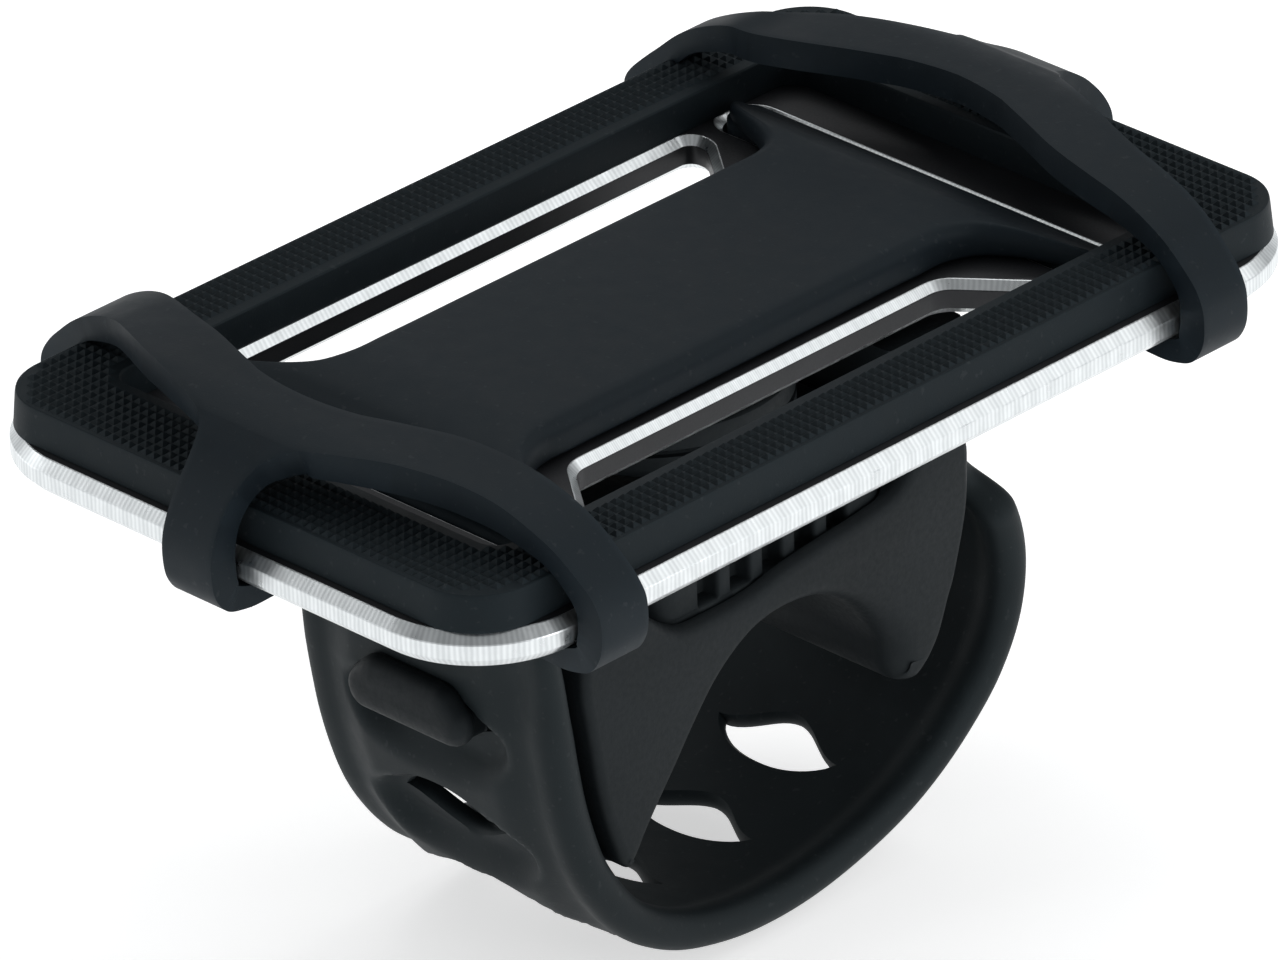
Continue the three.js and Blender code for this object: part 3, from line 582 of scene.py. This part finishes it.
# ------------------------------------------------------- straps over the phone
def strap(name, s_end, shift, nodes, body, left, right, tuck=0.0):
    """s_end is -1 at the near end of the deck and 1 at the far one. left and right nudge each side arm:
    (along Y, inwards in X, in Z) for its free part. tuck pulls the end arm towards the deck's middle."""
    half = [  # outer surface x, z, inner edge, outer edge along Y, thickness
        (25.8, -4.7, -37.7, -43.5, 1.8), (29.5, -4.85, -37.7, -43.5, 2.0), (33.2, -4.8, -37.7, -43.5, 2.2), (35.6, -4.0, -37.7, -43.5, 2.6), (36.9, -2.1, -37.7, -43.5, 3.0),
        (37.2, 0.4, -37.7, -43.5, 3.0), (37.0, 1.9, -37.7, -43.5, 2.9), (36.2, 3.4, -37.8, -43.6, 2.7), (34.4, 5.2, -37.9, -43.8, 2.3), (32.0, 7.1, -38.0, -44.1, 2.2),
        (29.3, 8.5, -38.1, -44.4, 2.5), (26.0, 9.6, -38.2, -44.6, 2.8), (22.0, 10.3, -38.4, -45.1, 3.0), (17.0, 10.8, -39.1, -46.4, 3.0), (11.0, 11.0, -41.0, -48.6, 3.0),
        (6.6, 11.0, -42.5, -50.2, 3.0)]
    fine = spline(half, 7)
    mid = np.array([(x, 11.0, float(np.interp(x, [0, 6.6], [-43.3, -42.5])), -50.2, 3.0) for x in np.linspace(6.6, 0, 6)[1:]])
    mid[:, 2] = -43.25 + 0.75 * (mid[:, 0] / 6.6) ** 2
    side = np.vstack([fine, mid])
    full = np.vstack([side * np.array([-1, 1, 1, 1, 1]), side[-2::-1]])
    n_mid = 11
    c0 = len(fine) - 1                       # first column of the middle part
    cols = len(full)
    across = 9
    grid = np.zeros((cols, across, 3))
    thick = np.zeros((cols, across))
    for i, (x, z, a, b, t) in enumerate(full):
        k = abs(x)
        sh = shift * (0.65 + 0.35 * min(1, k / 30))
        (di, do), dx, dz = left if x < 0 else right
        free = float(smooth01((z - 0.6) / 4.0)) if k > 30 else 1.0
        wy = float(smooth01((k - 16) / 14))
        wx = float(smooth01((k - 20) / 8)) * free
        for j in range(across):
            f = j / (across - 1)
            y = a + (b - a) * f + sh + (di + (do - di) * f) * wy
            zz = z + dz * wx
            if k < 20:
                drop = max(0.0, -46.2 - (y - sh))
                zz -= 0.034 * drop**2 * float(smooth01((20 - k) / 9))
            grid[i, j] = (x - math.copysign(dx * wx, x), y, zz)
            thick[i, j] = t
    verts, faces, tk = [], [], []
    idx = -np.ones((cols, across), int)
    for i in range(cols):
        for j in range(across):
            idx[i, j] = len(verts)
            verts.append(grid[i, j]); tk.append(thick[i, j])
    for i in range(cols - 1):
        for j in range(across - 1):
            faces.append((idx[i, j], idx[i + 1, j], idx[i + 1, j + 1], idx[i, j + 1]))
    # the arm over the end of the phone: y, z, half width, thickness
    y0 = -50.2 + shift * 0.65
    z0 = grid[cols // 2, across - 1][2]
    arm = spline([(-50.2, z0, 6.6, 3.0), (-51.3, z0 - 0.52, 5.05, 3.0), (-52.6, 9.25, 4.15, 2.8), (-54.4, 7.8, 3.5, 2.5), (-56.3, 5.7, 3.2, 2.5), (-57.7, 3.3, 3.15, 2.8),
                  (-58.25, 1.4, 3.15, 3.0), (-58.3, -0.6, 3.15, 3.0), (-57.9, -2.6, 3.15, 2.9), (-56.6, -4.3, 3.15, 2.6), (-54.4, -4.95, 3.15, 2.2), (-50, -5.0, 3.15, 2.2), (-45.5, -4.9, 3.15, 2.1), (-41.6, -4.7, 3.1, 1.8)], 6)
    prev = [idx[c0 + k, across - 1] for k in range(n_mid)]
    xs0 = [verts[p][0] for p in prev]
    for q, (y, z, w, t) in enumerate(arm[1:]):
        yy = y + shift * 0.65 * float(smooth01((y + 57.5) / 7.3)) + tuck * float(smooth01((z - 1.0) / 5.0) * smooth01((-y - 50.2) / 2.5))
        cur = []
        for k in range(n_mid):
            cur.append(len(verts))
            verts.append((xs0[k] * w / 6.6, yy, z)); tk.append(t)
        for k in range(n_mid - 1):
            faces.append((prev[k], prev[k + 1], cur[k + 1], cur[k]))
        prev = cur
    sg = -s_end
    s = Shape()
    s.add([(x, sg * y, z) for x, y, z in verts], [f if sg > 0 else f[::-1] for f in faces])
    me = bpy.data.meshes.new(name)
    me.from_pydata([row(p) for p in s.v], [], s.f)
    o = bpy.data.objects.new(name, me)
    scene.collection.objects.link(o)
    bm = bmesh.new()
    bm.from_mesh(me)
    bm.normal_update()
    top = max(bm.faces, key=lambda f: f.calc_center_median().z)
    if top.normal.z < 0:
        bmesh.ops.reverse_faces(bm, faces=bm.faces)
    bm.to_mesh(me)
    bm.free()
    g = o.vertex_groups.new(name="t")
    for i, t in enumerate(tk):
        g.add([i], t / 3.0, "REPLACE")
    m = o.modifiers.new("solid", "SOLIDIFY")
    m.thickness, m.offset, m.use_even_offset, m.use_quality_normals = 3.0 * MM, -1.0, True, True
    m.vertex_group = "t"
    settle(o)
    o.vertex_groups.clear()
    b = o.modifiers.new("bevel", "BEVEL")
    b.width, b.segments, b.limit_method, b.angle_limit, b.profile = 0.62 * MM, 4, "ANGLE", math.radians(55), 0.5
    settle(o)
    return finish_piece(o, [M_HARNESS], nodes, blend=("head", body, (0, 0, 0.6), (0, 0, 8.6)), angle=40)


strap("near_phone_strap", -1, 0.0, ["near_strap_arch", "near_left_hook", "near_right_hook", "near_end_hook"], "near_strap", ((2.5, 2.3), 0.6, 0.1), ((0, 0), 0, 0))
strap("far_phone_strap", 1, 3.6, ["far_strap_arch", "far_left_hook", "far_right_hook", "far_end_hook"], "far_strap", ((0.0, 2.9), 2.6, 1.1), ((0, 0), 0, 0), 0.7)


# ---------------------------------------------------------------------- swivel
def swivel():
    s = Shape()
    r, t, b = 13.2, -2.8, -8.0
    prof = [(2.8, b), (r - 0.9, b), (r - 0.55, b + 0.07), (r - 0.2, b + 0.3), (r - 0.04, b + 0.62), (r, b + 1.0), (r, -5.75), (r - 0.35, -5.6), (r - 0.45, -5.4), (r - 0.35, -5.2), (r, -5.05),
            (r, t - 0.7), (r - 0.06, t - 0.36), (r - 0.3, t - 0.1), (r - 0.6, t), (5.6, t), (5.6, -6.9), (2.8, -6.9)]
    s.loft([at(circle(q, 96), z) for q, z in prof], ring=True)
    o = make("swivel_disc_skin", s)
    finish_piece(o, [M_PLASTIC], ["swivel_disc"], "head", angle=32)

    X, Y, R, top, bottom, ledge = 15.0, 15.5, 3.0, -9.6, -20.5, -18.9
    pitch, gw, gd = 4.2, 2.45, 1.9

    def ring(grow, deep):
        """Outline with the grip grooves in the two X faces, `deep` deep."""
        arc = rectangle(X, Y, R, grow, 8)
        corner = [arc[9 * k : 9 * (k + 1)] for k in range(4)]
        face = X + grow
        right, left = [], []
        for i in range(-2, 3):
            y = i * pitch
            for dy, d in ((-gw / 2 - 0.3, 0), (-gw / 2 - 0.1, 0.06), (-gw / 2, 0.3), (-gw / 2 + 0.1, 1 - 0.12), (-gw / 2 + 0.4, 1), (gw / 2 - 0.4, 1), (gw / 2 - 0.1, 1 - 0.12), (gw / 2, 0.3), (gw / 2 + 0.1, 0.06), (gw / 2 + 0.3, 0)):
                right.append((face - gd * d * deep, y + dy))
                left.append((-(face - gd * d * deep), -(y + dy)))
        # corners run: lower left, lower right, upper right, upper left
        return corner[0] + corner[1] + right + corner[2] + corner[3] + left

    s = Shape()
    s.loft([at(ring(g, d), z) for g, d, z in ((-0.5, 0, bottom), (-0.15, 0, bottom + 0.15), (0, 0, bottom + 0.5), (0, 0, ledge - 0.35), (-0.04, 0.12, ledge - 0.08), (0, 0.5, ledge + 0.02), (0, 0.94, ledge + 0.08), (0, 1, ledge + 0.45), (0, 1, top - 0.6), (-0.2, 1, top - 0.16), (-0.6, 1, top))])
    o = make("swivel_turret_skin", s)
    t = Shape()
    t.loft([at(circle(2.8, 48), z) for z in (-23, -8)])
    boolean(o, make("c1", t))
    t = Shape()
    t.loft([at(circle(5.0, 6, turn=math.pi / 6), z) for z in (-23, -15.5)])
    boolean(o, make("c2", t))
    for sg in (-1, 1):
        t = Shape()
        t.loft([at(circle(1.85, 24, 0, sg * 11.5), z) for z in (-15.2, -8)])
        boolean(o, make("c3", t))
    finish_piece(o, [M_PLASTIC], ["swivel_turret"], "base", angle=50)


swivel()


# ---------------------------------------------------------------------- saddle
def saddle():
    prof = [
        (-25.4, -17.6), (-25.8, -21.0), (-25.2, -25.0), (-23.9, -33.0), (-22.4, -38.2), (-21.5, -40.4), (-20.8, -41.0), (-20.1, -40.4),
        (-18.4, -38.0), (-17.1, -36.3), (-14.3, -32.8), (-11.6, -29.3), (-8.8, -26.2), (-6.6, -24.5), (-3.6, -23.0), (0, -22.5),
        (4.0, -23.1), (7.6, -24.9), (10.5, -27.3), (12.6, -30.0), (13.9, -32.7), (14.2, -35.2), (14.9, -36.6), (16.6, -36.9), (18.2, -36.0),
        (19.8, -34.2), (21.6, -30.2), (22.2, -28.9), (23.0, -26.5), (24.3, -21.2), (24.5, -18.3), (24.2, -14.4), (22.6, -12.8),
        (19.4, -12.8), (17.6, -14.2), (15.0, -16.4), (11.0, -17.2), (6.0, -17.7), (0, -18.4), (-4.0, -19.2), (-9.0, -19.4),
        (-13.4, -19.1), (-18.3, -16.0), (-23.4, -16.0)]
    p = spline(prof, 6, closed=True)
    n = len(p)
    # rounding of the side edges, larger inside the right leg
    radius = np.full(n, 0.95)
    for i in range(n):
        y, z = p[i]
        k = i / 6
        if 15 <= k <= 23.5:
            w = float(smooth01((k - 15) / 4) * smooth01((23.5 - k) / 2.5))
            radius[i] = 0.95 + 2.0 * w
        if 33.5 <= k <= 41.5:
            radius[i] = 1.3
    tang = np.roll(p, -1, 0) - np.roll(p, 1, 0)
    tang /= np.linalg.norm(tang, axis=1)[:, None]
    inward = np.stack([-tang[:, 1], tang[:, 0]], 1)
    X = 16.5
    loops = []
    for sgn, order in ((-1, 1), (1, -1)):
        part = []
        for a in np.linspace(0, math.pi / 2, 7):
            d = radius * (1 - math.sin(a))
            x = X - radius * (1 - math.cos(a))
            q = p + inward * d[:, None]
            part.append([(sgn * x[i], q[i, 0], q[i, 1]) for i in range(n)])
        loops += part if sgn < 0 else part[::-1]
    s = Shape()
    s.loft(loops)
    o = make("saddle_skin", s)
    t = Shape()
    t.loft([at(rectangle(15.0, 15.5, 3.0, 0.3, 8), z) for z in (-20.8, -4)])
    boolean(o, make("c1", t))
    t = Shape()
    t.loft([at(rectangle(13.7, 4.85, 0.8, 0, 5), z) for z in (-21.6, -4)])
    c = make("c2", t)
    c.data.transform(Matrix.Translation((0, 22.15 * MM, 0)))
    boolean(o, c)
    t = Shape()
    t.loft([[(x, y + 21.0, z - 16.2) for y, z in circle(1.9, 24)] for x in (-15.4, 15.4)])
    boolean(o, make("c3", t))
    t = Shape()
    t.loft([[(x, y, z) for x, z in outline([(-6.3, -28.0), (6.3, -28.0), (6.3, -23.9), (-6.3, -23.9)], [1.2] * 4, 0, 5)] for y in (-28.5, -22.6)])
    boolean(o, make("c4", t))
    finish_piece(o, [M_PLASTIC], ["saddle"], "base", angle=42)

    # hook: a rounded tab on a shank
    s = Shape()
    shank = outline([(-6, -27.7), (6, -27.7), (6, -24.2), (-6, -24.2)], [1.0] * 4, 0, 6)
    s.loft([[(x, y, z) for x, z in shank] for y in (-22.9, -26, -29, -31.6)])
    o = make("strap_hook_skin", s)
    t = Shape()
    lip = outline([(-7.6, -27.4), (7.6, -27.4), (7.6, -24.2), (5.0, -21.6), (-5.0, -21.6), (-7.6, -24.2)], [2.2, 2.2, 2.4, 2.4, 2.4, 2.4], 0, 8)
    lp = []
    for y, g in ((-30.9, -0.75), (-31.0, -0.35), (-31.3, -0.08), (-31.7, 0), (-32.2, -0.06), (-32.7, -0.3), (-33.05, -0.75), (-33.25, -1.4), (-33.32, -2.1)):
        q = np.array(outline([(-7.6, -27.4), (7.6, -27.4), (7.6, -24.2), (5.0, -21.6), (-5.0, -21.6), (-7.6, -24.2)], [2.2 + 0.0, 2.2, 2.4, 2.4, 2.4, 2.4], g, 8))
        lp.append([(x, y, z) for x, z in q])
    t.loft(lp)
    boolean(o, make("lip", t), "UNION")
    finish_piece(o, [M_PLASTIC], ["strap_hook"], "base", angle=50)


saddle()


# ---------------------------------------------------------------- ladder strap
def ladder():
    line = [
        (22.4, -17.4), (24.8, -18.7), (27.2, -21.0), (29.5, -24.8), (30.7, -29.8), (30.0, -35.2), (27.3, -40.3), (23.1, -44.5), (16.6, -48.8),
        (8.4, -51.7), (0.3, -53.0), (-7.8, -52.6), (-14.4, -50.7), (-19.5, -47.4), (-22.6, -43.7), (-24.7, -40.1), (-26.1, -36.3), (-27.1, -32.6),
        (-27.9, -28.2), (-28.5, -24.0), (-29.0, -19.7), (-29.6, -15.5), (-30.0, -10.6)]
    pts = spline(line, 20)
    d = np.r_[0, np.cumsum(np.linalg.norm(np.diff(pts, axis=0), axis=1))]
    total = d[-1]
    at_hook = [i for i in range(len(pts)) if pts[i][0] < -20 and pts[i][1] > -30]
    hook = d[min(at_hook, key=lambda i: abs(pts[i][1] + 26.2))]

    def where(s):
        q = min(max(s, 0.0), total)
        p = np.array([np.interp(q, d, pts[:, k]) for k in (0, 1)])
        e = 0.35
        a = np.array([np.interp(max(q - e, 0), d, pts[:, k]) for k in (0, 1)])
        b = np.array([np.interp(min(q + e, total), d, pts[:, k]) for k in (0, 1)])
        t = (b - a) / np.linalg.norm(b - a)
        return p + t * (s - q), t, np.array([-t[1], t[0]]) * -1.0

    # n must point out of the ring: at the bottom of the ring it points down
    p, t, n = where(total * 0.45)
    flip = 1.0 if n[1] < 0 else -1.0
    holes = [(hook - i, 7.2, 2.9) for i in (59.6, 47.5, 35.4, 23.9, 12.5)] + [(hook, 8.3, 3.1), (hook + 12.3, 7.2, 2.4)]

    def point(a, s, b):
        p, t, n = where(s)
        n = n * flip
        return (a, p[0] + n[0] * b, p[1] + n[1] * b)

    def scale_at(s):
        root = float(smooth01((s - 6.2) / 4.5))
        end = max(0.0, 1 - (total - s) / 5)
        return root, (13.3 + 3.2 * root) * (1 - 0.35 * end**2), 1 - 0.4 * max(0.0, 1 - (total - s) / 14)

    def outer(a, s):
        """Height of the outside face: edge bead, shallow valley, crown, and a dish at each hole."""
        root, w, thin = scale_at(s)
        k = abs(a) / w * 16.5
        bead, crown = (1.5 + 0.4 * root), (1.5 + 1.15 * root)
        u = float(smooth01((k - 8.2) / 4.6))
        base = crown * (1 - u) + (bead - 0.28 * root) * u
        v = float(smooth01((k - 12.9) / 1.3))
        base = base * (1 - v) + bead * v
        deep = 0.0
        for c, hx, hs in holes:
            ds = s - c + 1.2
            up = 4.9 if ds > 0 else 5.9
            ea, es = abs(a / 10.9) ** 2.3, abs(ds / up) ** 2.3
            e = (ea + es) ** (1 / 2.3)
            if e < 1:
                side = ea / (ea + es + 1e-9)
                wall = side * (2.6 / 10.9) + (1 - side) * (1.5 / up if ds > 0 else 4.2 / up)
                deep = max(deep, float(smooth01((1 - e) / wall)) * root * 2.15)
        return (base - deep) * thin

    def inner(a, s):
        root, w, thin = scale_at(s)
        k = abs(a) / w * 16.5
        bead = 1.5 + 0.4 * root
        v = float(smooth01((k - 12.6) / 1.3))
        return -(1.25 * (1 - v) + bead * v) * thin

    stations = np.linspace(0, total, int(total / 0.52))
    loops = []
    r_ = 1.6
    for s in stations:
        root, w, thin = scale_at(s)
        rr = min(1.75, (1.5 + 0.4 * root) * thin) * 0.98
        flat = w - rr
        loop = []
        for a in np.linspace(-flat, flat, 51):
            loop.append(point(a, s, outer(a, s)))
        top, bot = outer(flat, s), inner(flat, s)
        for q in np.linspace(math.pi / 2, -math.pi / 2, 11)[1:-1]:
            loop.append(point(flat + rr * math.cos(q), s, (top + bot) / 2 + (top - bot) / 2 * math.sin(q)))
        for a in np.linspace(flat, -flat, 31):
            loop.append(point(a, s, inner(a, s)))
        for q in np.linspace(-math.pi / 2, math.pi / 2, 11)[1:-1]:
            loop.append(point(-flat - rr * math.cos(q), s, (top + bot) / 2 + (top - bot) / 2 * math.sin(q)))
        loops.append(loop)
    # rounded tip
    tip = []
    for q in np.linspace(0, math.pi / 2, 6)[1:]:
        k = math.cos(q)
        base = loops[-1]
        c = np.mean(np.array(base), 0)
        p_, t_, n_ = where(total)
        adv = 1.3 * math.sin(q)
        tip.append([(c[0] + (x - c[0]) * (1 - 0.1 * (1 - k)), c[1] + (y - c[1]) * max(k, 0.12) + t_[0] * adv, c[2] + (z - c[2]) * max(k, 0.12) + t_[1] * adv) for x, y, z in base])
    s = Shape()
    s.loft(loops + tip)
    o = make("clamp_strap", s)
    # eye round the pin
    t = Shape()
    R = 3.3
    xs = [(-13.3, R - 0.5), (-13.15, R - 0.15), (-12.8, R), (12.8, R), (13.15, R - 0.15), (13.3, R - 0.5)]
    t.loft([[(x, y + 21.0, z - 16.2) for y, z in circle(r, 48)] for x, r in xs])
    boolean(o, make("eye", t), "UNION")
    t = Shape()
    t.loft([[(x, y + 21.0, z - 16.2) for y, z in circle(1.95, 36)] for x in (-20, 20)])
    boolean(o, make("bore", t))

    # leaf-shaped holes with a hump towards the root and soft rims
    def leaf(hx, hs, grow):
        pts = []
        m = 22
        for i in range(m + 1):
            a = -1 + 2 * i / m
            pts.append((a * (hx + grow), -(hs + grow) * (0.5 + 0.5 * math.cos(math.pi * a)) * 0.96 - 0.12 * hs))
        for i in range(1, m):
            a = 1 - 2 * i / m
            pts.append((a * (hx + grow), (hs + grow) * (1 - abs(a) ** 2.2) ** 0.8 - 0.12 * hs))
        return pts

    for c, hx, hs in holes:
        t = Shape()
        lo, hi = inner(0, c), outer(0, c)
        rows = [(lo - 1.6, 1.7), (lo - 0.3, 0.75), (lo + 0.05, 0.42), (lo + 0.4, 0.14), (lo + 0.85, 0.0), (hi - 0.6, 0.0), (hi - 0.25, 0.12), (hi + 0.05, 0.4), (hi + 0.4, 0.75), (hi + 2.2, 2.2)]
        t.loft([[point(a, c + e, b) for a, e in leaf(hx, hs, g)] for b, g in rows])
        boolean(o, make("hole", t))
    finish_piece(o, [M_STRAP], ["clamp_strap_band", "clamp_strap_tail"], "clamp_strap", angle=38)


ladder()


# --------------------------------------------------- hidden hardware, CAD nodes
HARDWARE = {
    "deck_screw_1": M_STEEL, "deck_screw_2": M_STEEL, "deck_screw_3": M_STEEL, "deck_screw_4": M_STEEL,
    "pivot_bolt": M_STEEL, "bolt_washer": M_STEEL, "pivot_nut": M_STEEL, "strap_pin": M_STEEL,
    "detent_ball_1": M_STEEL, "detent_ball_2": M_STEEL, "detent_spring_1": M_STEEL, "detent_spring_2": M_STEEL,
    "swivel_washer": M_NYLON,
}
for name, mat in HARDWARE.items():
    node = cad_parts[name]
    node.data.materials.clear()
    node.data.materials.append(mat)


# ------------------------------------------------------ floor, light and camera
def floor():
    low = min(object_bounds()[0].z, CAD_BOX[0].z) - 0.0006
    me = bpy.data.meshes.new("floor")
    q = 6.0
    me.from_pydata([(-q, -q, low), (q, -q, low), (q, q, low), (-q, q, low)], [], [(0, 1, 2, 3)])
    o = bpy.data.objects.new("floor", me)
    scene.collection.objects.link(o)
    k = Nodes("floor")
    k.bsdf.inputs["Base Color"].default_value = (0.93, 0.93, 0.93, 1)
    k.bsdf.inputs["Roughness"].default_value = 0.9
    k.bsdf.inputs["Specular IOR Level"].default_value = 0.0
    k.bsdf.inputs["Emission Color"].default_value = (1, 1, 1, 1)
    k.bsdf.inputs["Emission Strength"].default_value = 0.55
    me.materials.append(k.m)
    o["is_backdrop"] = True


floor()

world = bpy.data.worlds.new("studio")
scene.world = world
world.use_nodes = True
# a pale studio: bright low walls, darker above
wt = world.node_tree
bg = wt.nodes["Background"]
bg.inputs[1].default_value = 1.0
wco = wt.nodes.new("ShaderNodeTexCoord")
sep = wt.nodes.new("ShaderNodeSeparateXYZ")
wramp = wt.nodes.new("ShaderNodeValToRGB")
wt.links.new(wco.outputs["Generated"], sep.inputs[0])
wt.links.new(sep.outputs[2], wramp.inputs[0])
wt.links.new(wramp.outputs[0], bg.inputs[0])
wramp.color_ramp.elements.new(0.5)
for e, (pos, c) in zip(wramp.color_ramp.elements, ((0.0, 0.95), (0.14, 0.62), (0.5, 0.30))):
    e.position, e.color = pos, (c * 0.97, c * 0.985, c, 1)


def area(name, loc, target, size, power, colour=(1, 1, 1)):
    light = bpy.data.lights.new(name, "AREA")
    light.shape, light.size, light.size_y, light.energy, light.color = "RECTANGLE", size[0], size[1], power, colour
    o = bpy.data.objects.new(name, light)
    o.location = loc
    o.rotation_mode = "QUATERNION"
    o.rotation_quaternion = (Vector(target) - Vector(loc)).to_track_quat("-Z", "Y")
    scene.collection.objects.link(o)


area("top", (-0.25, 0.35, 0.9), (0, 0, 0), (0.9, 0.7), 2.6)
area("left", (-0.9, -0.5, 0.35), (0, 0, 0), (0.5, 0.7), 1.6)
area("right", (0.9, 0.25, 0.3), (0, 0, 0), (0.5, 0.6), 2.2)
area("back", (0.5, 0.64, 0.66), (0, 0, 0), (0.6, 0.6), 1.2)

scene.view_settings.view_transform = "Standard"
scene.view_settings.look = "None"

cam_data = bpy.data.cameras.new("camera")
cam = bpy.data.objects.new("camera", cam_data)
scene.collection.objects.link(cam)
yaw, el, roll = math.radians(45.79), math.radians(28.2), math.radians(-2.12)
tx, ty, scale, focal = 9.91, -145.5, 10.98, 14440.0
back = Vector((math.sin(yaw) * math.cos(el), -math.cos(yaw) * math.cos(el), math.sin(el)))
r0 = Vector((math.cos(yaw), math.sin(yaw), 0))
u0 = back.cross(r0)
r = math.cos(roll) * r0 + math.sin(roll) * u0
u = -math.sin(roll) * r0 + math.cos(roll) * u0
loc = back * (focal / scale) - r * (tx / scale) + u * (ty / scale) + Vector((0, 0, H))
cam.matrix_world = Matrix.Translation(loc * MM) @ Matrix((r, u, back)).transposed().to_4x4()
cam_data.lens = focal * 36 / 1280
cam_data.sensor_width = 36
cam_data.clip_start, cam_data.clip_end = 0.05, 40
scene.camera = cam
